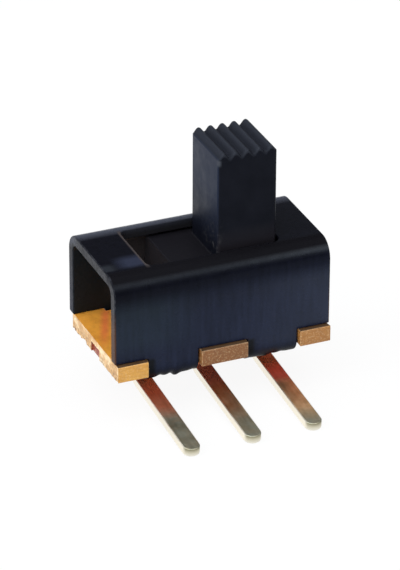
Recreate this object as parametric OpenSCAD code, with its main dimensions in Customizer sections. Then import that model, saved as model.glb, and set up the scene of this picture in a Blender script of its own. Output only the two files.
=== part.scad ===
// Slide switch in a folded steel frame, for a circuit board. Lengths are in millimetres.
// X runs along the body, the terminals point to -Y and the knob stands up along +Z.
// The origin is where the middle terminal leaves the underside of the base.

/* [Frame] */
// Length of the folded steel frame
frame_l = 10.6; // [9.6:0.1:14]
// Width across the outside of the frame's long walls
frame_w = 5.7; // [5.4:0.1:8]
// Height of the frame's top above the base's top face
frame_h = 4.2; // [3.8:0.1:6]
// Thickness of the steel sheet
sheet_t = 0.5; // [0.3:0.05:0.6]
// Outside radius of the two long top bends
bend_r = 0.9; // [0.85:0.05:1.4]
// Radius of the slot's corners
slot_r = 0.35; // [0.1:0.05:0.5]

/* [Tabs] */
// Width of each tab that folds under the base
tab_w = 2.5; // [1.5:0.1:3]
// Distance between the middles of the two tabs on one wall
tab_pitch = 4.9; // [4:0.1:6]
// Reach of a folded tab under the base, from the wall's outside
tab_reach = 1.6; // [1:0.1:2]
// Outside radius of the tab's fold
fold_r = 0.7; // [0.65:0.05:0.9]

/* [Base] */
// Thickness of the base plate
base_t = 0.8; // [0.6:0.1:1.6]
// How far the base's front edge stands out past the frame, to keep the frame off the board
base_overhang = 0.25; // [0:0.05:0.5]
// How far the base's back edge stays inside the frame's back wall
base_setback = 0.3; // [0:0.05:0.4]
// How far the base's ends stay inside the frame's ends
base_inset = 0.05; // [0:0.05:0.5]
// Width of the shallow nick in the lower edge of each end of the base
nick_w = 1; // [0.5:0.1:2]
// Depth of that nick, inwards from the end
nick_d = 0.15; // [0.1:0.05:0.6]
// Height of that nick above the base's underside
nick_h = 0.5; // [0.2:0.05:0.5]

/* [Terminals] */
// Distance between neighbouring terminals
pitch = 3; // [2.6:0.1:4]
// Width of a terminal's strip
strip_w = 0.8; // [0.5:0.05:1]
// Thickness of a terminal's strip
strip_t = 0.4; // [0.3:0.05:0.5]
// Straight drop of a terminal below the base, before its bend
drop = 1.1; // [0.8:0.05:3]
// Inside radius of a terminal's bend
strip_r = 0.4; // [0.2:0.05:0.6]
// Angle of a terminal's bend, a little short of square after it springs back
strip_bend = 85.5; // [80:0.5:90]
// Length of a terminal from its bend to its tip
pin_l = 6.1; // [3:0.1:8]
// Radius of the corners of a terminal's tip
tip_r = 0.28; // [0.1:0.02:0.4]
// Width of the contact blade above the base
blade_w = 1.6; // [1.2:0.1:2.2]
// Height of the contact blade above the base
blade_h = 1.6; // [1.2:0.1:1.8]

/* [Slider] */
// Distance between the two positions of the knob
travel = 3.4; // [2.6:0.1:3.6]
// Width of the knob along the travel
knob_w = 2.9; // [2:0.1:3.4]
// Depth of the knob across the travel
knob_d = 3.1; // [2:0.1:3.3]
// Height of the knob's top above the frame
knob_h = 4.75; // [2:0.05:8]
// Radius of the knob's upright edges
knob_r = 0.15; // [0.05:0.05:0.4]
// Number of ridges on the knob's top
ridge_count = 5; // [3:1:8]
// Height of the ridges
ridge_h = 0.25; // [0.1:0.05:0.4]
// Width of the flat left on each ridge and in each groove, as a part of the ridge spacing
ridge_flat = 0.18; // [0.05:0.01:0.4]

/* [Contact clip] */
// Thickness of the contact clip's sheet
clip_t = 0.2; // [0.12:0.02:0.25]
// Width of each of the clip's fingers
finger_w = 1; // [0.6:0.1:1.2]
// Width of the clip across its bends
clip_w = 2; // [1.8:0.1:2.4]
// Diameter of the peg that holds the clip
peg_d = 0.7; // [0.5:0.05:0.9]
// Thickness of the peg's spread head
peg_head_h = 0.2; // [0.15:0.05:0.3]

/* [Clearances] */
// Gap all round the slider's carriage, and between its ends and the frame's ends
slide_gap = 0.1; // [0.05:0.01:0.2]
// Gap between the knob and the slot's ends, at the ends of the travel
stop_gap = 0.1; // [0.05:0.05:0.3]
// Gap between the knob and the slot's long edges
slot_gap = 0.25; // [0.1:0.05:0.4]
// Gap beside each tab in its notch
tab_gap = 0.05; // [0.02:0.01:0.15]
// Gap round each terminal in the base
strip_gap = 0.02; // [0.01:0.01:0.05]
// Gap between the clip's fingers and a blade's faces
contact_gap = 0.02; // [0.01:0.01:0.05]
// Gap round the clip's peg in its hole
peg_gap = 0.05; // [0.02:0.01:0.1]
// Room beside the clip in the carriage
clip_gap = 0.2; // [0.1:0.05:0.3]
// Room above the blades under the clip's peg
blade_gap = 0.4; // [0.2:0.05:0.5]

/* [Hidden] */
$fn = 64;
top_z = base_t + frame_h;
bend_in = bend_r - sheet_t;
fold_in = fold_r - sheet_t;
wall_y = frame_w / 2;
base_l = frame_l - 2 * base_inset;
base_w = frame_w + base_overhang - base_setback;
base_mid = -(base_overhang + base_setback) / 2;
slot_l = knob_w + travel + 2 * stop_gap;
slot_w = knob_d + 2 * slot_gap;
fold_y = wall_y - fold_r;
rest_x = travel / 2;
carriage_l = frame_l - travel - 2 * slide_gap;
carriage_w = frame_w - 2 * sheet_t - 2 * slide_gap;
carriage_top = top_z - sheet_t - slide_gap;
carriage_bottom = base_t + slide_gap;
carriage_chamfer = bend_in - slide_gap;
blade_top = base_t + blade_h;
ceiling_z = blade_top + blade_gap + peg_head_h + clip_t;
channel_w = clip_w + 2 * clip_gap;
pinch_y = strip_t / 2 + contact_gap;
pinch_z = base_t + 0.6 * blade_h;
clip_in = 0.15;
clip_out = clip_in + clip_t;
clip_y = clip_w / 2;
clip_l = pitch + finger_w;
eps = 0.3;

// A bend in sheet: it starts on the +Y side of an axis along X and turns up towards +Z.
module bend(r, t, w, a) {
    rotate([90, 0, 90])
        rotate_extrude(angle = a)
            translate([r, -w / 2])
                square([t, w]);
}

// A shape drawn in X and Z, given thickness t about Y = 0.
module upright(t) {
    translate([0, t / 2, 0])
        rotate([90, 0, 0])
            linear_extrude(t)
                children();
}

// A shape drawn in Y and Z, given length l about X = 0.
module along_x(l) {
    translate([-l / 2, 0, 0])
        rotate([90, 0, 90])
            linear_extrude(l)
                children();
}

// A block about the Z axis, standing on Z = 0, with its upright edges rounded.
module rounded_block(l, w, h, r) {
    translate([-l / 2, r - w / 2, 0])
        cube([l, w - 2 * r, h]);
    translate([r - l / 2, -w / 2, 0])
        cube([l - 2 * r, w, h]);
    for (a = [0, 1], b = [0, 1])
        mirror([a, 0, 0])
            mirror([0, b, 0])
                translate([l / 2 - r, w / 2 - r, 0])
                    rotate_extrude(angle = 90)
                        square([r, h]);
}

// The back half of the frame: half of the top, a long bend, the wall and its two folded tabs.
module frame_half() {
    translate([-frame_l / 2, 0, top_z - sheet_t])
        cube([frame_l, wall_y - bend_r, sheet_t]);
    translate([0, wall_y - bend_r, top_z - bend_r])
        bend(bend_in, sheet_t, frame_l, 90);
    translate([-frame_l / 2, wall_y - sheet_t, base_t])
        cube([frame_l, sheet_t, frame_h - bend_r]);
    for (x = [-tab_pitch / 2, tab_pitch / 2])
        translate([x, 0, 0])
            folded_tab();
}

// A tab runs down through the base's notch and folds in under the base.
module folded_tab() {
    translate([-tab_w / 2, wall_y - sheet_t, fold_in])
        cube([tab_w, sheet_t, base_t - fold_in]);
    translate([0, fold_y, fold_in])
        mirror([0, 0, 1])
            bend(fold_in, sheet_t, tab_w, 90);
    translate([-tab_w / 2, wall_y - tab_reach, -sheet_t])
        cube([tab_w, tab_reach - fold_r, sheet_t]);
}

// One folded piece of black-coated steel sheet, with the knob's slot punched in its top.
module frame() {
    color([0.07, 0.08, 0.1])
        difference() {
            union() {
                frame_half();
                mirror([0, 1, 0])
                    frame_half();
            }
            translate([0, 0, top_z - bend_r])
                rounded_block(slot_l, slot_w, 2 * bend_r, slot_r);
        }
}

// Phenolic plate with notches for the tabs, slits for the terminals and a nick in each end.
module base() {
    color([0.8, 0.55, 0.26])
        difference() {
            translate([-base_l / 2, -wall_y - base_overhang, 0])
                cube([base_l, base_w, base_t]);
            for (x = [-tab_pitch / 2, tab_pitch / 2], side = [0, 1])
                mirror([0, side, 0])
                    translate([x - tab_w / 2 - tab_gap, fold_y, -eps])
                        cube([tab_w + 2 * tab_gap, base_w, base_t + 2 * eps]);
            for (x = [-pitch, 0, pitch])
                translate([x - strip_w / 2 - strip_gap, -strip_t / 2 - strip_gap, -eps])
                    cube([strip_w + 2 * strip_gap, strip_t + 2 * strip_gap, base_t + 2 * eps]);
            for (side = [0, 1])
                mirror([side, 0, 0])
                    translate([base_l / 2 - nick_d, base_mid - nick_w / 2, -eps])
                        cube([nick_d + eps, nick_w, nick_h + eps]);
        }
}

// A plated strip: contact blade above the base, staked below it, then bent towards the front.
module terminal() {
    corner = 0.2;
    ear = 0.15;
    translate([0, 0, base_t])
        upright(strip_t)
            polygon([
                [-blade_w / 2, 0],
                [blade_w / 2, 0],
                [blade_w / 2, blade_h - corner],
                [blade_w / 2 - corner, blade_h],
                [-blade_w / 2 + corner, blade_h],
                [-blade_w / 2, blade_h - corner]
            ]);
    translate([-strip_w / 2, -strip_t / 2, -drop])
        cube([strip_w, strip_t, base_t + drop]);
    upright(strip_t)
        polygon([
            [-strip_w / 2 - ear, 0],
            [strip_w / 2 + ear, 0],
            [strip_w / 2, -2 * ear],
            [-strip_w / 2, -2 * ear]
        ]);
    translate([0, -strip_t / 2 - strip_r, -drop]) {
        mirror([0, 0, 1])
            bend(strip_r, strip_t, strip_w, strip_bend);
        rotate([-strip_bend, 0, 0])
            translate([0, strip_r, 0])
                pin();
    }
}

// The straight end of a terminal, with its two tip corners rounded.
module pin() {
    translate([-strip_w / 2, 0, tip_r - pin_l])
        cube([strip_w, strip_t, pin_l - tip_r]);
    translate([tip_r - strip_w / 2, 0, -pin_l])
        cube([strip_w - 2 * tip_r, strip_t, tip_r]);
    for (side = [0, 1])
        mirror([side, 0, 0])
            translate([strip_w / 2 - tip_r, 0, tip_r - pin_l])
                rotate([-90, 0, 0])
                    rotate_extrude(angle = 90)
                        square([tip_r, strip_t]);
}

module terminal_left() {
    color([0.75, 0.74, 0.68])
        translate([-pitch, 0, 0])
            terminal();
}

module terminal_common() {
    color([0.75, 0.74, 0.68])
        terminal();
}

module terminal_right() {
    color([0.75, 0.74, 0.68])
        translate([pitch, 0, 0])
            terminal();
}

// Outline of the knob in X and Z: straight sides and a row of ridges along the top.
module knob_outline() {
    ridge_w = knob_w / ridge_count;
    half_flat = ridge_w * ridge_flat / 2;
    peak = top_z + knob_h;
    groove = peak - ridge_h;
    ridges = [for (i = [0:ridge_count - 1]) let (x = (i + 0.5) * ridge_w - knob_w / 2) each [
        [x - ridge_w / 2 + half_flat, groove],
        [x - half_flat, peak],
        [x + half_flat, peak],
        [x + ridge_w / 2 - half_flat, groove]
    ]];
    polygon(concat(
        [[knob_w / 2, groove], [knob_w / 2, carriage_top - eps], [-knob_w / 2, carriage_top - eps]],
        [[-knob_w / 2, groove]],
        ridges
    ));
}

// Carriage inside the frame: the top edges clear the frame's bends and a channel clears the blades.
module carriage_outline() {
    polygon([
        [-carriage_w / 2, carriage_bottom],
        [-channel_w / 2, carriage_bottom],
        [-channel_w / 2, ceiling_z],
        [channel_w / 2, ceiling_z],
        [channel_w / 2, carriage_bottom],
        [carriage_w / 2, carriage_bottom],
        [carriage_w / 2, carriage_top - carriage_chamfer],
        [carriage_w / 2 - carriage_chamfer, carriage_top],
        [-carriage_w / 2 + carriage_chamfer, carriage_top],
        [-carriage_w / 2, carriage_top - carriage_chamfer]
    ]);
}

// Knob and carriage are one moulding, with a peg whose end is spread under the clip.
module slider() {
    color([0.1, 0.1, 0.12])
        translate([rest_x, 0, 0]) {
            along_x(carriage_l)
                carriage_outline();
            intersection() {
                upright(knob_d)
                    knob_outline();
                translate([0, 0, carriage_top - eps])
                    rounded_block(knob_w, knob_d, top_z + knob_h, knob_r);
            }
            translate([0, 0, ceiling_z - clip_t - peg_head_h])
                cylinder(d = peg_d, h = clip_t + peg_head_h + eps);
            translate([0, 0, ceiling_z - clip_t - peg_head_h])
                cylinder(d = peg_d + 0.5, h = peg_head_h);
        }
}

// Section of one finger in Y and Z: down from the bend, in to the blade and out again at the mouth.
module finger_outline() {
    bend_z = ceiling_z - clip_out;
    lean_t = 1.25 * clip_t;
    mouth_z = base_t + 0.35;
    mouth_y = pinch_y + 0.3;
    polygon([
        [clip_y - clip_t, bend_z],
        [clip_y, bend_z],
        [clip_y, bend_z - 0.25],
        [pinch_y + lean_t, pinch_z],
        [mouth_y + lean_t, mouth_z],
        [mouth_y, mouth_z],
        [pinch_y, pinch_z],
        [clip_y - clip_t, bend_z - 0.2]
    ]);
}

// Bridging clip of springy sheet: two pairs of fingers pinch two neighbouring blades.
module contact_clip() {
    color([0.85, 0.65, 0.4])
        translate([rest_x, 0, 0]) {
            difference() {
                translate([-clip_l / 2, clip_out - clip_y, ceiling_z - clip_t])
                    cube([clip_l, clip_w - 2 * clip_out, clip_t]);
                translate([0, 0, ceiling_z - clip_t - eps])
                    cylinder(d = peg_d + 2 * peg_gap, h = clip_t + 2 * eps);
            }
            for (x = [-pitch / 2, pitch / 2], side = [0, 1])
                translate([x, 0, 0])
                    mirror([0, side, 0]) {
                        translate([0, clip_y - clip_out, ceiling_z - clip_out])
                            bend(clip_in, clip_t, finger_w, 90);
                        along_x(finger_w)
                            finger_outline();
                    }
        }
}

frame();
base();
terminal_left();
terminal_common();
terminal_right();
slider();
contact_clip();
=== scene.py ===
import math

import bmesh
import bpy
from mathutils import Matrix, Vector, noise


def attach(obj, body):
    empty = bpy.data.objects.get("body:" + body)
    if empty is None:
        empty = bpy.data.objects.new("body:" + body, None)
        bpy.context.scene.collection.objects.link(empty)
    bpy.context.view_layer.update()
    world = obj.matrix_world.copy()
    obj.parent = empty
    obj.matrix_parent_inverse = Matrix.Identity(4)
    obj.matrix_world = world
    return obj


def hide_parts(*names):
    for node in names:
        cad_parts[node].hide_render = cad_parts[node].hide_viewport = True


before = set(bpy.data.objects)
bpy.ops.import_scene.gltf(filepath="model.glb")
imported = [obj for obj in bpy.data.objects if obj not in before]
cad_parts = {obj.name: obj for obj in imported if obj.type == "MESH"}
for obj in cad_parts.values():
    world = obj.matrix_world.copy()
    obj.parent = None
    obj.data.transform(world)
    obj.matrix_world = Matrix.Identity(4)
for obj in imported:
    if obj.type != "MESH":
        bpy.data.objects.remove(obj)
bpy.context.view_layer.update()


# BASE
# A plate of amber phenolic laminate, punched from sheet. Notches in its long edges take the frame's tabs,
# slits hold the terminals, and its front edge stands proud so that the steel frame clears the board.
# Each end has a shallow torn nick where the plate was broken out of its strip.
MM = 0.001
SAME_PLACE, WELD = 1e-4, 1e-5
base_half_length = 5.25
base_front, base_back = -3.1, 2.55
base_middle = (base_front + base_back) / 2
base_thickness, base_softening = 0.8, 0.04
notch_sides, notch_floor = (1.15, 3.75), 2.15
slit_half_length, slit_half_width = 0.42, 0.22
terminal_places = (-3.0, 0.0, 3.0)
nick_half_width, nick_depth, nick_height = 0.5, 0.09, 0.5
ragged_depth, ragged_cuts, tears_per_mm = 0.13, 23, 1.3
ragged_shortest, upper_tear_share, ragged_zone = 1.0, 0.5, 1.5 * ragged_depth
a_little, facing = 0.01, 0.5


def verts_of(geom):
    """The vertices among the elements that an operator gives back."""
    return [part for part in geom if isinstance(part, bmesh.types.BMVert)]


def faces_of(geom):
    """The faces among the elements that an operator gives back."""
    return [part for part in geom if isinstance(part, bmesh.types.BMFace)]


def pull(bm, faces, move, keep=False):
    """Extrude faces, move what was made and give it back. The old faces go unless they are kept."""
    geom = faces + list(dict.fromkeys(e for f in faces for e in f.edges))
    grown = bmesh.ops.extrude_face_region(bm, geom=geom, use_keep_orig=keep)["geom"]
    bmesh.ops.translate(bm, vec=Vector(move), verts=verts_of(grown))
    return grown


def score(bm, axis, place, faces=None):
    """Cut faces, or all of them, along a plane that stands square to an axis."""
    faces = bm.faces[:] if faces is None else faces
    edges = dict.fromkeys(e for f in faces for e in f.edges)
    verts = dict.fromkeys(v for f in faces for v in f.verts)
    normal = Vector((axis == "x", axis == "y", axis == "z"))
    bmesh.ops.bisect_plane(
        bm, geom=[*faces, *edges, *verts], dist=WELD, plane_co=normal * place, plane_no=normal
    )


def punched_out(spot):
    """Is this spot of the plate cut away, for a tab or for a terminal?"""
    in_notch = notch_sides[0] < abs(spot.x) < notch_sides[1] and abs(spot.y) > notch_floor
    at_terminal = any(abs(spot.x - x) < slit_half_length for x in terminal_places)
    return in_notch or (at_terminal and abs(spot.y) < slit_half_width)


def in_nick(spot):
    """Is this spot of the plate's end inside its nick?"""
    return abs(spot.x) > base_half_length - nick_depth and abs(spot.y - base_middle) < nick_half_width


def is_level(edge):
    """Does this edge run level?"""
    return abs(edge.verts[0].co.z - edge.verts[1].co.z) < SAME_PLACE


def on_seam(edge):
    """Is this level edge on the line across a slit's middle, where the plate's faces stay parted?"""
    across = (all(abs(v.co.x - x) < SAME_PLACE for v in edge.verts) for x in terminal_places)
    return is_level(edge) and any(across)


bm = bmesh.new()
cut_face, end_face, torn_face, under_face = (
    bm.faces.layers.float.new(value) for value in ("cut", "end", "torn", "under")
)
bmesh.ops.create_grid(bm, x_segments=1, y_segments=1, size=1)
bmesh.ops.scale(bm, vec=Vector((base_half_length, (base_back - base_front) / 2, 1)), verts=bm.verts[:])
bmesh.ops.translate(bm, vec=Vector((0, base_middle, nick_height)), verts=bm.verts[:])
for side in (-1, 1):
    for x in (*notch_sides, base_half_length - nick_depth):
        score(bm, "x", side * x)
    for x in terminal_places:
        score(bm, "x", x + side * slit_half_length)
    for y in (notch_floor, slit_half_width):
        score(bm, "y", side * y)
for x in terminal_places:
    score(bm, "x", x)
for side in (-1, 1):
    ends = [f for f in bm.faces if abs(f.calc_center_median().x) > base_half_length - nick_depth]
    score(bm, "y", base_middle + side * nick_half_width, ends)
waste = [f for f in bm.faces if punched_out(f.calc_center_median())]
bmesh.ops.delete(bm, geom=waste, context="FACES")
layer = bm.faces[:]
below = [f for f in layer if not in_nick(f.calc_center_median())]
pull(bm, layer, (0, 0, base_thickness - nick_height), keep=True)
pull(bm, below, (0, 0, -nick_height))
bmesh.ops.recalc_face_normals(bm, faces=bm.faces[:])
plate_joins = [e for e in bm.edges if not on_seam(e)]
bmesh.ops.dissolve_limit(bm, angle_limit=a_little, verts=bm.verts[:], edges=plate_joins)
for face in bm.faces:
    spot = face.calc_center_median()
    endwise = abs(face.normal.x) > facing
    face[cut_face] = float(abs(face.normal.z) < facing)
    face[under_face] = float(face.normal.z < -facing)
    face[end_face] = float(endwise and abs(spot.x) > base_half_length - nick_depth / 2)
    just_inside = Vector((spot.x * (1 + a_little), spot.y * (1 - a_little), 0))
    broken_out = in_nick(just_inside) and abs(spot.x) < base_half_length - a_little
    face[torn_face] = float(broken_out and spot.z < base_thickness - a_little)
end_edges = [e for e in bm.edges if all(abs(v.co.x) > base_half_length - SAME_PLACE for v in e.verts)]
end_edges = [e for e in end_edges if is_level(e) and e.calc_length() > ragged_shortest]
split = bmesh.ops.bisect_edges(bm, edges=end_edges, cuts=ragged_cuts)["geom_split"]
for vert in verts_of(split):
    low = vert.co.z < base_thickness / 2
    tear = ragged_depth * (1 if low else upper_tear_share) * abs(noise.noise(vert.co * tears_per_mm))
    vert.co.x -= math.copysign(tear, vert.co.x)
    vert.co.z += tear if low else -tear


def new_finish(name):
    """A node material, its tree, its shader and the place on the piece that its patterns follow."""
    material = bpy.data.materials.new(name)
    material.use_nodes = True
    tree = material.node_tree
    place = tree.nodes.new("ShaderNodeTexCoord").outputs["Object"]
    return material, tree, tree.nodes["Principled BSDF"], place


def grain(tree, place, per_mm, detail=3.0, squeeze=(1, 1, 1)):
    """Noise of about per_mm spots to the millimetre, drawn out along axes that squeeze has below 1."""
    mapping = tree.nodes.new("ShaderNodeMapping")
    mapping.inputs["Scale"].default_value = squeeze
    pattern = tree.nodes.new("ShaderNodeTexNoise")
    pattern.inputs["Scale"].default_value = per_mm / MM
    pattern.inputs["Detail"].default_value = detail
    pattern.inputs["Roughness"].default_value = 0.55
    tree.links.new(place, mapping.inputs["Vector"])
    tree.links.new(mapping.outputs["Vector"], pattern.inputs["Vector"])
    return pattern.outputs["Fac"]


def grey(level):
    """A colour without hue, for masks and for values that a ramp gives."""
    return (level, level, level)


def ramp(tree, factor, *stops):
    """A colour for each part of a factor's range."""
    node = tree.nodes.new("ShaderNodeValToRGB")
    while len(node.color_ramp.elements) < len(stops):
        node.color_ramp.elements.new(0.5)
    for element, (position, colour) in zip(node.color_ramp.elements, stops):
        element.position = position
        element.color = (*colour, 1)
    tree.links.new(factor, node.inputs["Fac"])
    return node.outputs["Color"]


def rescale(tree, factor, at, to):
    """Turn a factor that runs between two values into one that runs between two others."""
    node = tree.nodes.new("ShaderNodeMapRange")
    node.inputs["From Min"].default_value, node.inputs["From Max"].default_value = at
    node.inputs["To Min"].default_value, node.inputs["To Max"].default_value = to
    tree.links.new(factor, node.inputs["Value"])
    return node.outputs["Result"]


def along(tree, place, axis, start, end):
    """How far a spot lies, from 0 to 1, between two places in millimetres along an axis or direction."""
    node = tree.nodes.new("ShaderNodeVectorMath")
    node.operation = "DOT_PRODUCT"
    node.inputs[1].default_value = {"X": (1, 0, 0), "Y": (0, 1, 0), "Z": (0, 0, 1)}.get(axis, axis)
    tree.links.new(place, node.inputs[0])
    return rescale(tree, node.outputs["Value"], (start * MM, end * MM), (0, 1))


def own_value(tree, name):
    """A value that the piece's mesh carries."""
    node = tree.nodes.new("ShaderNodeAttribute")
    node.attribute_name = name
    return node.outputs["Fac"]


def lay_over(tree, factor, under, over, mode="MIX"):
    """Lay one colour over another."""
    node = tree.nodes.new("ShaderNodeMix")
    node.data_type = "RGBA"
    node.blend_type = mode
    # Sockets go by number, because the node has others with the same names.
    for value, socket in ((factor, node.inputs[0]), (under, node.inputs[6]), (over, node.inputs[7])):
        if isinstance(value, bpy.types.NodeSocket):
            tree.links.new(value, socket)
        elif isinstance(value, tuple):
            socket.default_value = (*value, 1)
        else:
            socket.default_value = value
    return node.outputs[2]


def times(tree, first, second):
    """One mask, colour or value times another."""
    return lay_over(tree, 1.0, first, second, "MULTIPLY")


def patch(tree, place, **spans):
    """A patch with soft sides. For each axis: where it starts, is full, starts to fade and ends."""
    mask = None
    for axis, (start, full, fade, end) in spans.items():
        span = ramp(
            tree, along(tree, place, axis, start, end),
            (0.0, grey(0.0)),
            ((full - start) / (end - start), grey(1.0)),
            ((fade - start) / (end - start), grey(1.0)),
            (1.0, grey(0.0)),
        )
        mask = span if mask is None else times(tree, mask, span)
    return mask


def relief(tree, shader, height, depth):
    """Bump of the given depth in millimetres."""
    node = tree.nodes.new("ShaderNodeBump")
    node.inputs["Distance"].default_value = depth * MM
    tree.links.new(height, node.inputs["Height"])
    tree.links.new(node.outputs["Normal"], shader.inputs["Normal"])


def finish_piece(bm, name, finishes, softening, body, slot, *nodes, crisp=None):
    """Bring a mesh drawn in millimetres to size, soften its edges and let it stand for its CAD nodes.

    Edges that crisp picks out are left as they are.
    """
    sharp = math.radians(35)
    if crisp:
        soft_edge = bm.edges.layers.float.new("bevel_weight_edge")
        for edge in bm.edges:
            if edge.calc_face_angle() > sharp:
                edge.smooth = not crisp(edge)
                edge[soft_edge] = float(edge.smooth)
    bmesh.ops.scale(bm, vec=Vector((MM, MM, MM)), verts=bm.verts[:])
    for face in bm.faces:
        face.smooth = True
    mesh = bpy.data.meshes.new(name)
    bm.to_mesh(mesh)
    bm.free()
    piece = bpy.data.objects.new(name, mesh)
    bpy.context.scene.collection.objects.link(piece)
    for finish in finishes:
        mesh.materials.append(finish)
    soft_edges = piece.modifiers.new("soft_edges", "BEVEL")
    soft_edges.width = softening * MM
    soft_edges.segments = 3
    soft_edges.limit_method = "WEIGHT" if crisp else "ANGLE"
    soft_edges.angle_limit = sharp
    soft_edges.use_clamp_overlap = False
    soft_edges.material = len(finishes) - 1
    soft_edges.harden_normals = True
    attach(piece, body)
    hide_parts(*nodes)


def laminate(name, pale):
    """Paper soaked in amber resin: orange faces, a redder underside and cut edges that show fibres."""
    material, tree, shader, place = new_finish(name)
    # The tone changes along the plate. Its lighter, yellower left end is painted light, standing in for
    # light that glows through the laminate from the left.
    lengthwise = along(tree, place, "X", -base_half_length, base_half_length)
    face_tone = ramp(
        tree, lengthwise,
        (0.0, (0.90, 0.40, 0.05)), (0.5, (0.60, 0.25, 0.04)), (1.0, (0.64, 0.27, 0.04)),
    )
    edge_tone = ramp(
        tree, lengthwise,
        (0.0, (0.80, 0.42, 0.08)), (0.14, (0.77, 0.40, 0.07)), (0.4, (0.28, 0.108, 0.026)),
        (0.6, (0.24, 0.094, 0.024)), (0.88, (0.44, 0.195, 0.042)),
    )
    red_streak = ramp(
        tree, along(tree, place, (1.0, -0.42, 0.0), -5.0, -4.38),
        (0.0, grey(0.0)), (0.43, grey(0.75)), (0.63, grey(0.75)), (1.0, grey(0.0)),
    )
    red_streak = times(tree, red_streak, patch(tree, place, Y=(-1.2, 0.3, 1.9, 2.6)))
    face_tone = lay_over(tree, red_streak, face_tone, (0.85, 0.18, 0.06))
    # Painted shade: the lugs' tops outside the frame are dark, in the shade under the wall's edge.
    lug_top_shade = along(tree, place, "Y", -2.6, -2.8)
    face_tone = lay_over(tree, lug_top_shade, face_tone, (0.10, 0.055, 0.025))
    tone = lay_over(tree, own_value(tree, "cut"), face_tone, edge_tone)
    tone = lay_over(tree, own_value(tree, "under"), tone, (0.55, 0.15, 0.055))
    mottle = ramp(
        tree, grain(tree, place, 2.2, 5.0),
        (0.36, (0.62, 0.35, 0.13)), (0.5, (0.83, 0.54, 0.25)), (0.62, (0.95, 0.77, 0.50)),
    )
    tone = lay_over(tree, own_value(tree, "end"), tone, mottle)
    # The nick's torn faces are dark red: the laminate's red core, darkened further as painted shade in the
    # recess.
    tone = lay_over(tree, own_value(tree, "torn"), tone, (0.30, 0.035, 0.012))
    # Brown blotches on the end faces, more of them towards the bottom edge.
    end_blotches = ramp(tree, grain(tree, place, 5.0, 5.0), (0.44, grey(0.0)), (0.62, grey(1.0)))
    end_blotches = times(tree, end_blotches, along(tree, place, "Z", 0.6, 0.1))
    end_blotches = times(tree, end_blotches, own_value(tree, "end"))
    tone = lay_over(tree, end_blotches, tone, (0.36, 0.21, 0.09))
    layered = (0.5, 0.5, 2.0)
    cloud = ramp(tree, grain(tree, place, 0.9, 4.0), (0.3, (0.86, 0.78, 0.68)), (0.7, grey(1.0)))
    fibres = grain(tree, place, 6.0, 5.0, layered)
    fibres = ramp(tree, fibres, (0.33, (0.76, 0.70, 0.66)), (0.6, grey(1.0)))
    flecks = ramp(tree, grain(tree, place, 11.0, 4.0), (0.5, grey(0.0)), (0.8, grey(0.5)))
    flecks = times(tree, flecks, own_value(tree, "cut"))
    tone = lay_over(tree, 0.8, tone, cloud, "MULTIPLY")
    tone = lay_over(tree, 0.6, tone, fibres, "MULTIPLY")
    tone = lay_over(tree, flecks, tone, (0.88, 0.66, 0.36))
    tone = lay_over(tree, pale, tone, (0.92, 0.70, 0.42))
    roughness = rescale(tree, grain(tree, place, 3.0), (0.3, 0.7), (0.34, 0.55))
    tree.links.new(tone, shader.inputs["Base Color"])
    tree.links.new(roughness, shader.inputs["Roughness"])
    relief(tree, shader, grain(tree, place, 9.0, 4.0, layered), 0.012)
    return material


def at_end(edge):
    """Is this edge one of the ragged ones at the plate's ends?"""
    return all(abs(v.co.x) > base_half_length - ragged_zone for v in edge.verts)


base_finishes = (laminate("amber_phenolic", pale=0.0), laminate("amber_phenolic_edge", pale=0.1))
finish_piece(bm, "base_plate", base_finishes, base_softening, "housing", "base", "base", crisp=at_end)


# TERMINALS
# Three flat strips of plated brass, stamped and dropped through the base's slits. A wide blade stands up
# inside as the fixed contact, staked ears lock the strip under the base, and the tail is bent forward.
strip_thickness, strip_softening = 0.4, 0.045
heights_and_widths = (
    (2.4, 1.2), (2.2, 1.6), (0.8, 1.6), (0.8, 0.8), (0.0, 0.8), (0.0, 1.1), (-0.3, 0.8), (-1.1, 0.8),
)
strip_bend_radius, strip_bend_degrees, strip_bend_steps = 0.4, 85.5, 14
tail_length, tip_radius, tip_segments = 6.1, 0.385, 7
tin_line_direction, tin_line = (0.36, 1.0, 0.0), (-4.15, -5.2)
partly_facing = 0.3


def across_strip(middle):
    """A span along X for a patch that takes in one strip and not its neighbours."""
    return (middle - 1.0, middle - 0.6, middle + 0.6, middle + 1.0)


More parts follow.
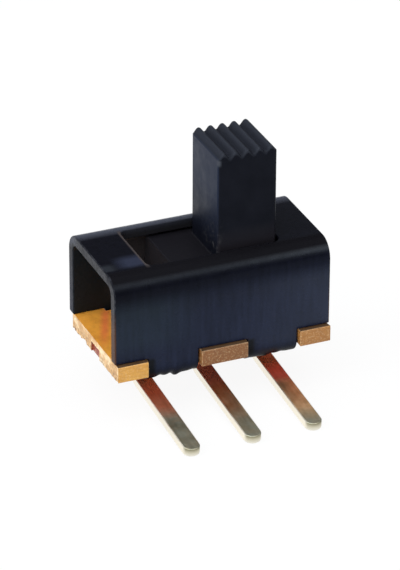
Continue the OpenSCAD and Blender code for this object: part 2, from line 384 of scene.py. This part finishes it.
def plating(name, polish):
    """Thin pale plating over drawn brass: dull and grey where the tip is tinned, with painted reflection
    and shade by the base.
    """
    material, tree, shader, place = new_finish(name)
    left, common, right = terminal_places
    # Painted reflection: the upper faces near the base are red-brown and less metallic, for the base's red
    # underside mirrored in them.
    left_base_reflection = patch(tree, place, X=across_strip(left), Y=(-4.6, -3.6, -1.8, -0.4))
    left_base_reflection = times(tree, left_base_reflection, own_value(tree, "upper"))
    right_base_reflection = patch(tree, place, X=across_strip(right), Y=(-3.2, -2.65, -1.9, -1.3))
    right_base_reflection = times(tree, right_base_reflection, own_value(tree, "upper"))
    base_reflections = lay_over(tree, 1.0, left_base_reflection, right_base_reflection, "ADD")
    tree.links.new(rescale(tree, base_reflections, (0, 1), (1.0, 0.72)), shader.inputs["Metallic"])
    drawn = grain(tree, place, 7.0, 4.0, (1, 0.06, 1))
    to_tip = along(tree, place, "Y", -0.8, -6.6)
    metal = ramp(
        tree, to_tip,
        (0.0, (0.84, 0.58, 0.39)), (0.5, (0.94, 0.63, 0.35)), (1.0, (0.70, 0.53, 0.32)),
    )
    # The common strip is darker and browner along most of its length.
    darker_common = patch(tree, place, X=across_strip(common), Y=(-5.6, -4.4, -0.6, 0.0))
    metal = lay_over(tree, darker_common, metal, (0.56, 0.42, 0.26))
    # Painted shade: the common and right strips are darker where they run under the base.
    for middle, shaded_tone in ((common, (0.50, 0.33, 0.36)), (right, (0.58, 0.33, 0.24))):
        under_base_shade = patch(tree, place, X=across_strip(middle), Y=(-2.6, -1.6, -0.6, 0.0))
        metal = lay_over(tree, under_base_shade, metal, shaded_tone)
    metal = lay_over(tree, left_base_reflection, metal, (0.88, 0.30, 0.17))
    metal = lay_over(tree, right_base_reflection, metal, (0.92, 0.20, 0.14))
    blotches = ramp(tree, grain(tree, place, 2.4, 5.0), (0.36, grey(0.82)), (0.58, grey(1.0)))
    tinned = times(tree, along(tree, place, tin_line_direction, *tin_line), blotches)
    metal = lay_over(tree, tinned, metal, (0.42, 0.43, 0.34))
    streaks = ramp(tree, drawn, (0.3, (0.80, 0.78, 0.75)), (0.65, grey(1.0)))
    tarnish = ramp(tree, grain(tree, place, 1.6, 5.0), (0.35, (0.75, 0.68, 0.58)), (0.6, grey(1.0)))
    metal = lay_over(tree, 0.7, metal, streaks, "MULTIPLY")
    metal = lay_over(tree, 0.8, metal, tarnish, "MULTIPLY")
    metal = lay_over(tree, own_value(tree, "sheared"), metal, (0.98, 0.92, 0.78))
    at_tip = along(tree, place, "Y", -6.25, -6.45)
    metal = lay_over(tree, rescale(tree, at_tip, (0, 1), (polish, 0.0)), metal, (0.95, 0.92, 0.82))
    tip_tone = ramp(
        tree, along(tree, place, "Z", -2.0, -2.36),
        (0.0, (0.29, 0.27, 0.17)), (0.45, (0.64, 0.60, 0.46)), (1.0, (0.90, 0.87, 0.77)),
    )
    round_tip = lay_over(tree, own_value(tree, "upper"), at_tip, grey(0.0))
    metal = lay_over(tree, round_tip, metal, tip_tone)
    dull = ramp(tree, to_tip, (0.0, grey(0.26)), (0.35, grey(0.36)), (0.75, grey(0.48)))
    sheen = ramp(tree, drawn, (0.3, grey(0.85)), (0.7, grey(1.1)))
    tree.links.new(metal, shader.inputs["Base Color"])
    tree.links.new(times(tree, dull, sheen), shader.inputs["Roughness"])
    relief(tree, shader, drawn, 0.001)
    return material


strip_finishes = (plating("plated_brass", polish=0.0), plating("plated_brass_edge", polish=0.6))
for name, middle in zip(("left", "common", "right"), terminal_places):
    bm = bmesh.new()
    right_side = [(width / 2, z) for z, width in heights_and_widths]
    left_side = [(-half, z) for half, z in reversed(right_side)]
    bm.faces.new([bm.verts.new((x, strip_thickness / 2, z)) for x, z in right_side + left_side])
    pull(bm, bm.faces[:], (0, -strip_thickness, 0), keep=True)
    bmesh.ops.recalc_face_normals(bm, faces=bm.faces[:])
    end = min(bm.faces, key=lambda f: f.calc_center_median().z)
    bent = bmesh.ops.spin(
        bm,
        geom=[end, *end.edges],
        cent=Vector((0, -strip_thickness / 2 - strip_bend_radius, heights_and_widths[-1][0])),
        axis=Vector((-1, 0, 0)),
        angle=math.radians(strip_bend_degrees),
        steps=strip_bend_steps,
        use_duplicate=False,
    )["geom_last"]
    tail_direction = Matrix.Rotation(math.radians(-strip_bend_degrees), 3, "X") @ Vector((0, 0, -1))
    tip = set(verts_of(pull(bm, faces_of(bent), tail_direction * tail_length)))
    tip_edges = [e for e in bm.edges if set(e.verts) <= tip]
    tip_corners = [e for e in tip_edges if abs(e.verts[0].co.x - e.verts[1].co.x) < SAME_PLACE]
    bmesh.ops.bevel(
        bm, geom=tip_corners, offset=tip_radius, affect="EDGES",
        segments=tip_segments, profile=0.5, material=-1,
    )
    bmesh.ops.remove_doubles(bm, verts=bm.verts[:], dist=WELD)
    bmesh.ops.recalc_face_normals(bm, faces=bm.faces[:])
    sheared_face, upper_face = (bm.faces.layers.float.new(value) for value in ("sheared", "upper"))
    for face in bm.faces:
        face[upper_face] = float(face.normal.z > facing)
        sideways = max(abs(face.normal.x), face.normal.dot(tail_direction))
        face[sheared_face] = float(sideways > partly_facing)
    bmesh.ops.translate(bm, vec=Vector((middle, 0, 0)), verts=bm.verts[:])
    finish_piece(
        bm, "terminal_strip." + name, strip_finishes, strip_softening,
        "housing", "terminal", "terminal_" + name,
    )


# CONTACT CLIP
# Spring bronze, blanked and folded so that two pairs of fingers pinch neighbouring blades. It is pushed
# over a peg in the slider's channel, whose end is spread to hold it, and it travels with the slider.
bronze, tree, shader, place = new_finish("spring_bronze")
shader.inputs["Metallic"].default_value = 1.0
rolled = grain(tree, place, 4.0, 4.0, (0.2, 1, 1))
bronze_tone = ramp(tree, rolled, (0.35, (0.55, 0.33, 0.15)), (0.65, (0.78, 0.53, 0.28)))
tree.links.new(bronze_tone, shader.inputs["Base Color"])
tree.links.new(rescale(tree, rolled, (0.3, 0.7), (0.24, 0.4)), shader.inputs["Roughness"])
relief(tree, shader, rolled, 0.002)
for clip_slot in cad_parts["contact_clip"].material_slots:
    clip_slot.material = bronze


# SLIDER
# Knob and carriage in one black moulding. The carriage runs inside the frame on a channel that clears the
# blades, the knob stands up through the slot, and ridges across its top give a fingertip its grip.
slider_middle, slider_softening = 1.7, 0.04
carriage_half_length, carriage_half_width = 3.5, 2.25
carriage_bottom, carriage_top, carriage_chamfer = 0.9, 4.4, 0.3
channel_half_width, channel_ceiling = 1.2, 3.2
peg_radius, peg_length, peg_head_radius, peg_head_thickness = 0.35, 0.2, 0.6, 0.2
peg_patch, peg_inset, peg_side_cuts = 1.4 * peg_head_radius, 0.1, 7
knob_half_width, knob_half_depth = 1.45, 1.55
knob_top, knob_edge_radius = 9.75, 0.15
ridge_count, ridge_height, cuts_per_ridge = 5, 0.25, 14
crest_rounding, groove_rounding = 0.45, 0.3
ridge_end_radius, ridge_end_cuts = 0.14, 5
side_chamfer = 0.04
knob_shoulder = knob_top - ridge_height
ridged_from = knob_shoulder - 2 * ridge_end_radius
straight_on, barely_facing = 0.99, 0.1

bm = bmesh.new()
ridged_face = bm.faces.layers.float.new("ridged")
outline = (
    (-carriage_half_width, carriage_bottom),
    (-channel_half_width, carriage_bottom),
    (-channel_half_width, channel_ceiling),
    (channel_half_width, channel_ceiling),
    (channel_half_width, carriage_bottom),
    (carriage_half_width, carriage_bottom),
    (carriage_half_width, carriage_top - carriage_chamfer),
    (carriage_half_width - carriage_chamfer, carriage_top),
    (carriage_chamfer - carriage_half_width, carriage_top),
    (-carriage_half_width, carriage_top - carriage_chamfer),
)
bm.faces.new([bm.verts.new((-carriage_half_length, y, z)) for y, z in outline])
pull(bm, bm.faces[:], (2 * carriage_half_length, 0, 0), keep=True)
bmesh.ops.recalc_face_normals(bm, faces=bm.faces[:])


def level_faces(bm, z):
    """The level faces at a height."""
    level = [f for f in bm.faces if abs(f.normal.z) > straight_on]
    return [f for f in level if abs(f.calc_center_median().z - z) < SAME_PLACE]


def middle_face(bm, z):
    """The level face over or under the middle of the piece."""
    return min(level_faces(bm, z), key=lambda f: f.calc_center_median().xy.length)


for side in (-1, 1):
    score(bm, "x", side * peg_patch, level_faces(bm, channel_ceiling))
    score(bm, "y", side * peg_patch, level_faces(bm, channel_ceiling))
peg = middle_face(bm, channel_ceiling)
bmesh.ops.bisect_edges(bm, edges=peg.edges[:], cuts=peg_side_cuts)
bmesh.ops.inset_region(bm, faces=[peg], thickness=peg_inset)
for vert in peg.verts:
    vert.co.xy = vert.co.xy.normalized() * peg_radius
for drop, radius in (
    (peg_length, peg_radius),
    (0, peg_head_radius),
    (peg_head_thickness, peg_head_radius),
):
    peg = faces_of(pull(bm, [peg], (0, 0, -drop)))[0]
    for vert in peg.verts:
        vert.co.xy = vert.co.xy.normalized() * radius

for side in (-1, 1):
    score(bm, "x", side * knob_half_width, level_faces(bm, carriage_top))
    score(bm, "y", side * knob_half_depth, level_faces(bm, carriage_top))
knob_rise = knob_shoulder - carriage_top
pull(bm, [middle_face(bm, carriage_top)], (0, 0, knob_rise))
uprights = [e for e in bm.edges if abs(e.verts[0].co.z - e.verts[1].co.z) > knob_rise - SAME_PLACE]
bmesh.ops.bevel(
    bm, geom=uprights, offset=knob_edge_radius, affect="EDGES", segments=6, profile=0.5, material=-1
)
for step in range(1, ridge_count * cuts_per_ridge):
    x = (2 * step / (ridge_count * cuts_per_ridge) - 1) * knob_half_width
    score(bm, "x", x, level_faces(bm, knob_shoulder))
for side in (-1, 1):
    score(bm, "x", side * (knob_half_width - side_chamfer), level_faces(bm, knob_shoulder))
for step in range(ridge_end_cuts):
    y = knob_half_depth - ridge_end_radius * (1 - math.sin(math.pi / 2 * step / ridge_end_cuts))
    for side in (-1, 1):
        score(bm, "y", side * y, level_faces(bm, knob_shoulder))
score(bm, "z", ridged_from)


def rim_drop(x, y):
    """How far the ridges' rounded ends and the top's broken side edges fall away."""
    into = max(0, abs(y) - knob_half_depth + ridge_end_radius)
    round_end = ridge_end_radius - math.sqrt(max(0, ridge_end_radius**2 - into**2))
    return round_end + max(0, abs(x) - knob_half_width + side_chamfer)


def ridge_lift(x):
    """Height of the rounded ridges above the grooves, at x from the knob's middle."""
    spacing = 2 * knob_half_width / ridge_count
    fall = abs((x + knob_half_width) % spacing - spacing / 2) / (spacing / 2)
    rise = 1 - fall
    if fall < crest_rounding:
        fall = (fall**2 + crest_rounding**2) / (2 * crest_rounding)
    elif rise < groove_rounding:
        fall = 1 - (rise**2 + groove_rounding**2) / (2 * groove_rounding)
    lowest, highest = 1 - groove_rounding / 2, crest_rounding / 2
    return ridge_height * (lowest - fall) / (lowest - highest)


for vert in bm.verts:
    if vert.co.z > knob_shoulder - SAME_PLACE:
        vert.co.z += ridge_lift(vert.co.x) - rim_drop(vert.co.x, vert.co.y)
bmesh.ops.recalc_face_normals(bm, faces=bm.faces[:])
for face in bm.faces:
    on_ridges = face.calc_center_median().z > ridged_from
    face[ridged_face] = float(on_ridges and face.normal.z > barely_facing)
bmesh.ops.translate(bm, vec=Vector((slider_middle, 0, 0)), verts=bm.verts[:])


def moulding(name, rub):
    """Black moulding with a fine spark-eroded skin: worn ridges, rubbed edges, dust at the foot; painted
    light on ridges, sides, carriage.
    """
    material, tree, shader, place = new_finish(name)
    skin = grain(tree, place, 0.9, 4.0)
    skin = ramp(tree, skin, (0.3, (0.0035, 0.004, 0.0075)), (0.7, (0.006, 0.0066, 0.0112)))
    # Painted light: the knob's side faces are lighter and bluer, fading to dark towards the foot as
    # painted shade.
    for side in (-1, 1):
        face_x = slider_middle + side * knob_half_width
        on_side = (face_x - 0.07, face_x - 0.02, face_x + 0.02, face_x + 0.07)
        side_sheen = patch(tree, place, X=on_side, Z=(4.9, 7.6, 9.9, 10.2))
        skin = lay_over(tree, side_sheen, skin, (0.0148, 0.020, 0.038))
    # Painted light: the carriage and its left end are lighter, where they lie in shade inside the frame.
    lit_carriage = patch(tree, place, X=(-2.0, -1.9, 6.0, 7.0), Z=(0.4, 0.8, 4.42, 4.5))
    skin = lay_over(tree, lit_carriage, skin, (0.0085, 0.008, 0.0105))
    lit_carriage_end = patch(tree, place, X=(-2.0, -1.85, -1.75, -1.6), Z=(0.8, 1.5, 4.3, 4.4))
    skin = lay_over(tree, lit_carriage_end, skin, (0.017, 0.0155, 0.018))
    # The ridges' crests are worn lighter, and the same lightening is also a painted highlight where light
    # catches them.
    crest_wear_and_highlight = ramp(tree, along(tree, place, "Z", 9.4, 9.75), (0.0, grey(0.35)), (1.0, grey(1.0)))
    worn = times(tree, crest_wear_and_highlight, own_value(tree, "ridged"))
    skin = lay_over(tree, worn, skin, (0.024, 0.027, 0.036))
    glint = patch(
        tree, place,
        X=(0.15, 0.26, 0.32, 0.44), Y=(-1.65, -1.56, -1.46, -1.36), Z=(9.1, 9.25, 9.4, 9.5),
    )
    skin = lay_over(tree, glint, skin, (0.05, 0.055, 0.068))
    dusty_front = patch(
        tree, place,
        X=(0.1, 0.3, 3.1, 3.3), Y=(-1.7, -1.6, -1.5, -1.4), Z=(4.4, 4.6, 5.0, 6.0),
    )
    skin = lay_over(tree, dusty_front, skin, (0.018, 0.0165, 0.021))
    specks = ramp(tree, grain(tree, place, 3.4, 5.0), (0.52, grey(0.0)), (0.7, grey(0.8)))
    foot = patch(
        tree, place,
        X=(-0.5, 0.2, 0.3, 0.6), Y=(-2.2, -1.6, -1.3, 0.5), Z=(4.4, 4.9, 5.2, 6.6),
    )
    skin = lay_over(tree, times(tree, specks, foot), skin, (0.06, 0.059, 0.06))
    skin = lay_over(tree, rub, skin, (0.03, 0.032, 0.038))
    roughness = rescale(tree, grain(tree, place, 2.0), (0.3, 0.7), (0.36, 0.5))
    tree.links.new(skin, shader.inputs["Base Color"])
    tree.links.new(roughness, shader.inputs["Roughness"])
    shader.inputs["Specular IOR Level"].default_value = 0.07
    shader.inputs["Specular Tint"].default_value = (0.78, 0.88, 1.0, 1)
    relief(tree, shader, grain(tree, place, 14.0, 3.0), 0.005)
    return material


def at_top(edge):
    """Is this edge part of the knob's ridged top?"""
    return all(v.co.z > ridged_from for v in edge.verts)


slider_finishes = (moulding("black_moulding", rub=0.0), moulding("black_moulding_edge", rub=0.12))
finish_piece(
    bm, "slider_moulding", slider_finishes, slider_softening, "slider", "slider", "slider", crisp=at_top
)


# FRAME
# One blank of steel sheet, slotted and folded into a channel, then coated satin black. It drops over the
# slider and the base, and its tabs are folded under the base to hold everything together.
frame_half_length, frame_half_width = 5.3, 2.85
frame_top, frame_foot = 5.0, 0.8
sheet_thickness, frame_softening = 0.5, 0.06
bend_radius, bend_steps = 0.9, 20
slot_half_length, slot_half_width, slot_corner, slot_inset = 3.25, 1.8, 0.35, 0.1
tab_sides, tab_end = (1.2, 3.7), 1.25
fold_radius, fold_steps = 0.7, 10
dent_spacing = 0.09
dent_places_and_heights = ((-3.0, 0.10), (-2.47, 0.10), (-2.23, -0.12), (-1.4, 0.05))
dent_width, dent_reach, right_dent_share = 0.16, (1.95, 2.3), 0.45


def run_on(bm, edges, move):
    """Carry an edge of the sheet straight on."""
    grown = bmesh.ops.extrude_edge_only(bm, edges=edges)["geom"]
    bmesh.ops.translate(bm, vec=Vector(move), verts=verts_of(grown))
    return [e for e in grown if isinstance(e, bmesh.types.BMEdge)]


def fold(bm, edges, y, z, degrees, steps):
    """Carry an edge of the sheet round a bend about a line along X."""
    geom = list(dict.fromkeys(v for e in edges for v in e.verts)) + edges
    last = bmesh.ops.spin(
        bm, geom=geom, cent=Vector((0, y, z)), axis=Vector((1, 0, 0)), angle=math.radians(degrees),
        steps=steps, use_duplicate=False,
    )["geom_last"]
    return [e for e in last if isinstance(e, bmesh.types.BMEdge)]


bm = bmesh.new()
corners = [bm.verts.new((side * frame_half_length, -frame_half_width, frame_foot)) for side in (-1, 1)]
hem = [bm.edges.new(corners)]
bend_y, bend_z = frame_half_width - bend_radius, frame_top - bend_radius
hem = run_on(bm, hem, (0, 0, bend_z - frame_foot))
hem = fold(bm, hem, -bend_y, bend_z, -90, bend_steps)
hem = run_on(bm, hem, (0, 2 * bend_y, 0))
hem = fold(bm, hem, bend_y, bend_z, -90, bend_steps)
run_on(bm, hem, (0, 0, frame_foot - bend_z))
bmesh.ops.remove_doubles(bm, verts=bm.verts[:], dist=WELD)
bm.normal_update()

top = max(level_faces(bm, frame_top), key=lambda f: f.calc_area())
bmesh.ops.inset_region(bm, faces=[top], thickness=slot_inset, use_boundary=True, use_even_offset=True)
for vert in top.verts:
    vert.co.xy = (math.copysign(slot_half_length, vert.co.x), math.copysign(slot_half_width, vert.co.y))
bmesh.ops.bevel(
    bm, geom=top.verts[:], offset=slot_corner, affect="VERTICES", segments=7, profile=0.5, material=-1
)
bm.normal_update()
bmesh.ops.delete(bm, geom=[middle_face(bm, frame_top)], context="FACES")
score(bm, "y", 0, level_faces(bm, frame_top))
flat = set(level_faces(bm, frame_top))
top_joins = [e for e in bm.edges if set(e.link_faces) <= flat and len(e.link_faces) == 2]
top_joins = [e for e in top_joins if any(abs(v.co.y) > a_little for v in e.verts)]
bmesh.ops.dissolve_edges(bm, edges=top_joins)

fold_z = fold_radius - sheet_thickness
for side in (-1, 1):
    for x in (*tab_sides, *(-x for x in tab_sides)):
        upright = [f for f in bm.faces if abs(f.normal.y) > straight_on]
        score(bm, "x", x, [f for f in upright if f.calc_center_median().y * side > 0])
    fold_y = side * (frame_half_width - fold_radius)
    for root in [e for e in bm.edges if all(abs(v.co.z - frame_foot) < SAME_PLACE for v in e.verts)]:
        middle = (root.verts[0].co + root.verts[1].co) / 2
        if middle.y * side > 0 and tab_sides[0] < abs(middle.x) < tab_sides[1]:
            tab = run_on(bm, [root], (0, 0, fold_z - frame_foot))
            tab = fold(bm, tab, fold_y, fold_z, -90 * side, fold_steps)
            run_on(bm, tab, (0, side * tab_end - fold_y, 0))
bmesh.ops.remove_doubles(bm, verts=bm.verts[:], dist=WELD)
for step in range(1, int((tab_sides[1] - tab_sides[0]) / dent_spacing) + 1):
    for side in (-1, 1):
        tabs = [f for f in bm.faces if f.calc_center_median().z < frame_foot]
        score(bm, "x", side * (tab_sides[0] + step * dent_spacing), tabs)
bmesh.ops.recalc_face_normals(bm, faces=bm.faces[:])
if min(bm.faces, key=lambda f: f.calc_center_median().y).normal.y > 0:
    bmesh.ops.reverse_faces(bm, faces=bm.faces[:])
outer = set(bm.verts)
bmesh.ops.solidify(bm, geom=bm.faces[:], thickness=sheet_thickness)
bmesh.ops.recalc_face_normals(bm, faces=bm.faces[:])
for face in bm.faces:
    face.material_index = int(0 < sum(v in outer for v in face.verts) < len(face.verts))
for vert in outer:
    if vert.co.z < fold_z:
        under = (fold_z - vert.co.z) / fold_radius
        outward = min(1, max(0, (abs(vert.co.y) - dent_reach[0]) / (dent_reach[1] - dent_reach[0])))
        offsets = [(-abs(vert.co.x) - x, height) for x, height in dent_places_and_heights]
        lift = sum(height * math.exp(-((off / dent_width) ** 2)) for off, height in offsets)
        vert.co.z += lift * under * outward * (1 if vert.co.x < 0 else right_dent_share)


def coating(name, wear, gloss):
    """Satin blue-black coating on steel: drawn streaks and worn edges, with painted light on the walls,
    top, bends and inside.
    """
    material, tree, shader, place = new_finish(name)
    # Painted light: the walls grow lighter and bluer towards the bottom and the right, standing in for
    # reflected light, kept off the top and bends.
    downwards = along(tree, place, "Z", 4.3, 0.6)
    rightwards = along(tree, place, "X", -frame_half_length, frame_half_length)
    wall_light = lay_over(
        tree, 0.5,
        ramp(tree, downwards, (0.0, grey(0.0)), (0.45, grey(0.55)), (1.0, grey(0.8))),
        ramp(tree, rightwards, (0.0, grey(0.05)), (1.0, grey(0.9))),
        "ADD",
    )
    below_bend = ramp(tree, along(tree, place, "Z", 4.7, 3.6), (0.0, grey(0.0)), (1.0, grey(1.0)))
    wall_light = times(tree, wall_light, below_bend)
    skin = lay_over(tree, wall_light, (0.0026, 0.0026, 0.0055), (0.012, 0.016, 0.0365))
    streaks = grain(tree, place, 4.5, 4.0, (1, 1, 0.1))
    streaks = ramp(tree, streaks, (0.3, (0.6, 0.62, 0.66)), (0.7, grey(1.25)))
    skin = lay_over(tree, 0.8, skin, streaks, "MULTIPLY")
    # A teal tint on the front wall's lower left.
    teal_tint = patch(
        tree, place,
        X=(-5.6, -5.2, -3.2, -1.0), Y=(-3.0, -2.9, -2.7, -2.5), Z=(0.9, 1.8, 3.3, 4.1),
    )
    skin = lay_over(tree, teal_tint, skin, (0.005, 0.009, 0.009), "ADD")
    on_top = (4.9, 4.98, 5.1, 5.2)
    # Painted reflection: a bluish light patch on the top by the slot's front-left corner.
    top_reflection = patch(tree, place, X=(-4.75, -4.05, -3.3, -3.05), Y=(-1.78, -1.45, -0.95, -0.45), Z=on_top)
    skin = lay_over(tree, top_reflection, skin, (0.0225, 0.0275, 0.0495))
    # Painted highlight: the front bend's highlight carried onto the top at the left end.
    corner_highlight = patch(tree, place, X=(-5.4, -5.3, -4.95, -4.55), Y=(-1.75, -1.6, -1.25, -0.95), Z=on_top)
    skin = lay_over(tree, corner_highlight, skin, (0.018, 0.021, 0.027))
    over_bend = patch(tree, place, Y=(-2.68, -2.5, -1.95, -1.75), Z=(4.6, 4.72, 5.1, 5.2))
    skin = lay_over(tree, over_bend, skin, (0.0068, 0.0066, 0.0085))
    # Painted highlight: a lighter, bluer band along the back bend.
    back_bend_highlight = patch(tree, place, Y=(1.5, 2.05, 2.9, 3.2), Z=(4.2, 4.5, 5.1, 5.2))
    skin = lay_over(tree, back_bend_highlight, skin, (0.062, 0.068, 0.09))
    # Painted light: the inside faces are lighter, where they lie in shade.
    lit_inside = patch(tree, place, Y=(-2.45, -2.36, 2.36, 2.45), Z=(0.3, 0.6, 4.5, 4.6))
    skin = lay_over(tree, lit_inside, skin, (0.0105, 0.0130, 0.0150))
    # Painted light: a lighter patch on the inside of the back wall, seen through the slot.
    lit_back_wall = patch(
        tree, place,
        X=(-3.8, -3.2, 2.0, 3.0), Y=(2.0, 2.3, 2.4, 2.7), Z=(1.0, 2.0, 4.45, 4.6),
    )
    skin = lay_over(tree, lit_back_wall, skin, (0.04, 0.036, 0.038))
    # Painted shadow: the proud lugs cast it on the front tabs to their right.
    for corner in (notch_sides[0], -notch_sides[1]):
        by_lug = (corner - 0.05, corner, corner + 0.3, corner + 0.5)
        lug_shadow = patch(tree, place, X=by_lug, Y=(-3.0, -2.9, -2.6, -2.3), Z=(-0.6, -0.3, 0.7, 0.85))
        skin = lay_over(tree, lug_shadow, skin, (0.003, 0.003, 0.005))
    folded_under = along(tree, place, "Z", 0.3, -0.3)
    skin = lay_over(tree, folded_under, skin, (0.003, 0.003, 0.0045))
    chips = ramp(tree, grain(tree, place, 5.0, 5.0), (0.4, grey(0.0)), (0.62, grey(1.0)))
    bare = lay_over(tree, chips, (0.011, 0.012, 0.016), (0.038, 0.039, 0.047))
    # A warmer brown on the bare rim low on the front wall.
    warm_rim = patch(tree, place, Y=(-3.0, -2.9, -2.4, -2.2), Z=(0.4, 0.7, 2.4, 3.6))
    bare = lay_over(tree, warm_rim, bare, (0.085, 0.038, 0.02))
    end_wear, side_wear = grey(wear), grey(wear / 8)
    worn = ramp(tree, rightwards, (0.02, end_wear), (0.04, side_wear), (0.96, side_wear), (0.98, end_wear))
    kept_at_back = ramp(tree, along(tree, place, "Y", 1.6, 2.4), (0.0, grey(1.0)), (1.0, grey(0.35)))
    skin = lay_over(tree, times(tree, worn, kept_at_back), skin, bare)
    # Painted highlight: a light line along the slot's left end.
    slot_edge_highlight = patch(
        tree, place,
        X=(-3.40, -3.32, -3.22, -3.16), Y=(-2.0, -1.6, 1.6, 1.9), Z=(4.8, 4.92, 5.1, 5.2),
    )
    skin = lay_over(tree, slot_edge_highlight, skin, (0.06, 0.051, 0.050))
    slot_back = patch(
        tree, place,
        X=(-3.4, -3.1, 3.1, 3.4), Y=(1.7, 1.77, 1.83, 1.9), Z=(4.3, 4.4, 4.7, 5.0),
    )
    skin = lay_over(tree, slot_back, skin, (0.018, 0.018, 0.021))
    shine = rescale(tree, along(tree, place, "Z", -0.3, 0.5), (0, 1), (0.02, gloss))
    polish = ramp(tree, rightwards, (0.2, grey(0.85)), (0.6, grey(1.0)), (1.0, grey(1.8)))
    shine = times(tree, shine, polish)
    under_bend = patch(tree, place, Y=(-3.0, -2.9, -2.65, -2.5), Z=(3.3, 4.0, 4.4, 4.55))
    shine = lay_over(tree, under_bend, shine, grey(0.075))
    shine = lay_over(tree, over_bend, shine, grey(0.01))
    roughness = rescale(tree, grain(tree, place, 1.4, 4.0), (0.3, 0.7), (0.22, 0.36))
    tree.links.new(skin, shader.inputs["Base Color"])
    tree.links.new(roughness, shader.inputs["Roughness"])
    # The renders use the linked gloss. An export that drops the link still finds the plain one.
    shader.inputs["Specular IOR Level"].default_value = gloss
    tree.links.new(shine, shader.inputs["Specular IOR Level"])
    shader.inputs["Specular Tint"].default_value = (0.75, 0.87, 1.0, 1)
    relief(tree, shader, grain(tree, place, 3.0, 3.0), 0.008)
    return material


frame_finishes = (
    coating("black_coating", wear=0.0, gloss=0.155),
    coating("black_coating_edge", wear=0.8, gloss=0.06),
)
finish_piece(bm, "frame_shell", frame_finishes, frame_softening, "housing", "frame", "frame")


# STUDIO
# A pale floor just under the terminals' tips that the camera sees as white, and soft lamps overhead, on
# the left and in front. A fourth lamp shows only as a highlight. The camera has the photograph's angle.
floor_z, floor_half_size, floor_glow = -2.4, 4000, 0.92
bm = bmesh.new()
bmesh.ops.create_grid(bm, x_segments=1, y_segments=1, size=floor_half_size * MM)
bmesh.ops.translate(bm, vec=Vector((0, 0, floor_z * MM)), verts=bm.verts[:])
floor_mesh = bpy.data.meshes.new("floor")
bm.to_mesh(floor_mesh)
bm.free()
floor = bpy.data.objects.new("floor", floor_mesh)
bpy.context.scene.collection.objects.link(floor)
pale_floor, tree, shader, _ = new_finish("pale_floor")
shader.inputs["Base Color"].default_value = (0.88, 0.89, 0.9, 1)
shader.inputs["Roughness"].default_value = 0.9
shader.inputs["Specular IOR Level"].default_value = 0.0
light_path = tree.nodes.new("ShaderNodeLightPath")
seen = light_path.outputs["Is Camera Ray"]
for ray in ("Is Glossy Ray", "Is Transmission Ray"):
    either = tree.nodes.new("ShaderNodeMath")
    either.operation = "ADD"
    tree.links.new(seen, either.inputs[0])
    tree.links.new(light_path.outputs[ray], either.inputs[1])
    seen = either.outputs["Value"]
share = tree.nodes.new("ShaderNodeMath")
share.operation = "MULTIPLY"
share.inputs[1].default_value = floor_glow
tree.links.new(seen, share.inputs[0])
glow = tree.nodes.new("ShaderNodeEmission")
cover = tree.nodes.new("ShaderNodeMixShader")
tree.links.new(share.outputs["Value"], cover.inputs["Fac"])
tree.links.new(shader.outputs["BSDF"], cover.inputs[1])
tree.links.new(glow.outputs["Emission"], cover.inputs[2])
tree.links.new(cover.outputs["Shader"], tree.nodes["Material Output"].inputs["Surface"])
floor_mesh.materials.append(pale_floor)

for name, strength, spread_degrees, direction, colour, lights_all in (
    ("overhead", 2.6, 80, (-0.15, -0.1, 1.0), grey(1.0), True),
    ("left", 1.8, 60, (-1.0, -0.1, 0.5), (0.95, 0.98, 1.0), True),
    ("front", 0.5, 90, (0.1, -1.0, 0.5), grey(1.0), True),
    ("highlight", 0.45, 30, (0.34, -0.61, 0.715), grey(1.0), False),
):
    light = bpy.data.lights.new(name, "SUN")
    light.energy = strength
    light.angle = math.radians(spread_degrees)
    light.color = colour
    lamp = bpy.data.objects.new(name, light)
    lamp.rotation_euler = Vector(direction).to_track_quat("Z", "Y").to_euler()
    lamp.visible_diffuse = lights_all
    bpy.context.scene.collection.objects.link(lamp)
world = bpy.data.worlds.new("studio")
world.use_nodes = True
world.node_tree.nodes["Background"].inputs["Color"].default_value = (0.12, 0.125, 0.14, 1)
bpy.context.scene.world = world
bpy.context.scene.view_settings.view_transform = "Standard"

azimuth, elevation, roll = (math.radians(a) for a in (-22.9427, 28.4659, 0.2998))
distance, pixels_per_mm, shift_right, shift_up = 184.4538, 21.643, 0.0501, 2.147
image_height, sensor_size = 570, 36
level_back = Vector((math.sin(azimuth), -math.cos(azimuth), 0))
level_right = Vector((math.cos(azimuth), math.sin(azimuth), 0))
back = level_back * math.cos(elevation) + Vector((0, 0, math.sin(elevation)))
level_up = back.cross(level_right)
right = level_right * math.cos(roll) + level_up * math.sin(roll)
up = level_up * math.cos(roll) - level_right * math.sin(roll)
camera = bpy.data.objects.new("camera", bpy.data.cameras.new("camera"))
camera.data.sensor_width = sensor_size
camera.data.lens = pixels_per_mm * distance / image_height * sensor_size
camera.data.clip_start, camera.data.clip_end = 0.01, 20
camera_place = (back * distance + right * shift_right + up * shift_up) * MM
camera.matrix_world = Matrix.Translation(camera_place) @ Matrix((right, up, back)).transposed().to_4x4()
bpy.context.scene.collection.objects.link(camera)
bpy.context.scene.camera = camera
